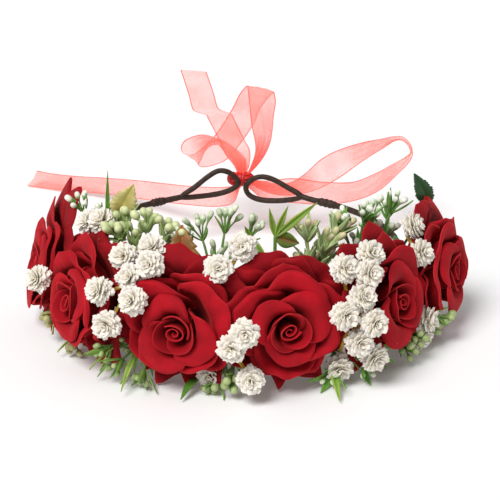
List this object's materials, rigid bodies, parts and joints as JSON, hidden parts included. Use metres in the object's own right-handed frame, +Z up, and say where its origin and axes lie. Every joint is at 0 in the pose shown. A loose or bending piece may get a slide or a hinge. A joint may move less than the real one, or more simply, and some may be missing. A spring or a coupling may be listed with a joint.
{
  "type": "flower crown",
  "caption": "Wire flower crown: velvet roses, gypsophila and sprigs along the front, bare wire arms with tie loops at the back joined by a sheer ribbon bow.",
  "frame": {"origin": "middle of the head opening, on the table plane that the lower petals rest on", "axes": "+Z up out of the head opening, -Y the front with the roses, +Y the back with the bow, +X the right side seen from the front"},
  "size_m": [0.2753, 0.35, 0.103],
  "materials": {
    "velvet": "soft flocked velvet, matt with a darker fold",
    "deep_velvet": "soft flocked velvet in deep shade",
    "bloom": "soft foam, matt creamy white",
    "sage": "soft plastic foliage, matt pale green",
    "dark_leaf": "soft plastic foliage, satin dark green",
    "olive_leaf": "soft plastic foliage, matt olive",
    "rust_leaf": "printed leaf fabric, rusty brown turning green",
    "brown_tape": "wound crepe floral tape, dark brown, over a wire core",
    "green_tape": "wound crepe floral tape, green, over a wire core",
    "organza": "sheer red organza with a tighter woven edge"
  },
  "bodies": {
    "garland": {"budded_sprig_right_low": "olive_leaf", "dark_leaf_right": "dark_leaf", "garland_wire": "green_tape", "green_sprig_centre": "dark_leaf", "green_sprig_centre_low": "sage", "green_sprig_left_low": "sage", "green_sprig_right": "dark_leaf", "gypsophila_centre_low": "bloom", "gypsophila_centre_top": "bloom", "gypsophila_left_fan": "bloom", "gypsophila_left_side": "bloom", "gypsophila_left_top": "bloom", "gypsophila_right_fan": "bloom", "gypsophila_right_low": "bloom", "gypsophila_right_top": "bloom", "long_leaf_sprig_right_low": "dark_leaf", "olive_buds_left_low": "olive_leaf", "olive_leaf_left": "olive_leaf", "pale_sprig_right": "sage", "pointed_leaf_low": "dark_leaf", "right_arm_wire": "brown_tape", "right_twist_wrap": "brown_tape", "rose_1_bud": "deep_velvet", "rose_1_calyx": "green_tape", "rose_1_inner_petals": "velvet", "rose_1_outer_petals": "velvet", "rose_2_bud": "deep_velvet", "rose_2_calyx": "green_tape", "rose_2_inner_petals": "velvet", "rose_2_outer_petals": "velvet", "rose_3_bud": "deep_velvet", "rose_3_calyx": "green_tape", "rose_3_inner_petals": "velvet", "rose_3_outer_petals": "velvet", "rose_4_bud": "deep_velvet", "rose_4_calyx": "green_tape", "rose_4_inner_petals": "velvet", "rose_4_outer_petals": "velvet", "rose_5_bud": "deep_velvet", "rose_5_calyx": "green_tape", "rose_5_inner_petals": "velvet", "rose_5_outer_petals": "velvet", "rose_6_bud": "deep_velvet", "rose_6_calyx": "green_tape", "rose_6_inner_petals": "velvet", "rose_6_outer_petals": "velvet", "rust_leaf_left": "rust_leaf", "sage_berries_left": "sage", "spear_leaf_left": "dark_leaf", "spiky_sprig_centre": "dark_leaf", "white_tipped_sprig_left": "dark_leaf", "white_tipped_sprig_right": "sage"},
    "left_arm": {"left_arm_wire": "brown_tape", "left_twist_wrap": "brown_tape", "bow_knot": "organza", "bow_left_loop": "organza", "bow_right_loop": "organza", "bow_trailing_tail": "organza", "bow_upper_loop": "organza", "bow_upright_tail": "organza"}
  },
  "joints": [
    {"name": "left_arm_flex", "type": "hinge", "parent": "garland", "child": "left_arm", "pos_m": [-0.09231, 0.01133, 0.0312], "axis": [0, 0, 1], "range_deg": [0, 12]}
  ]
}
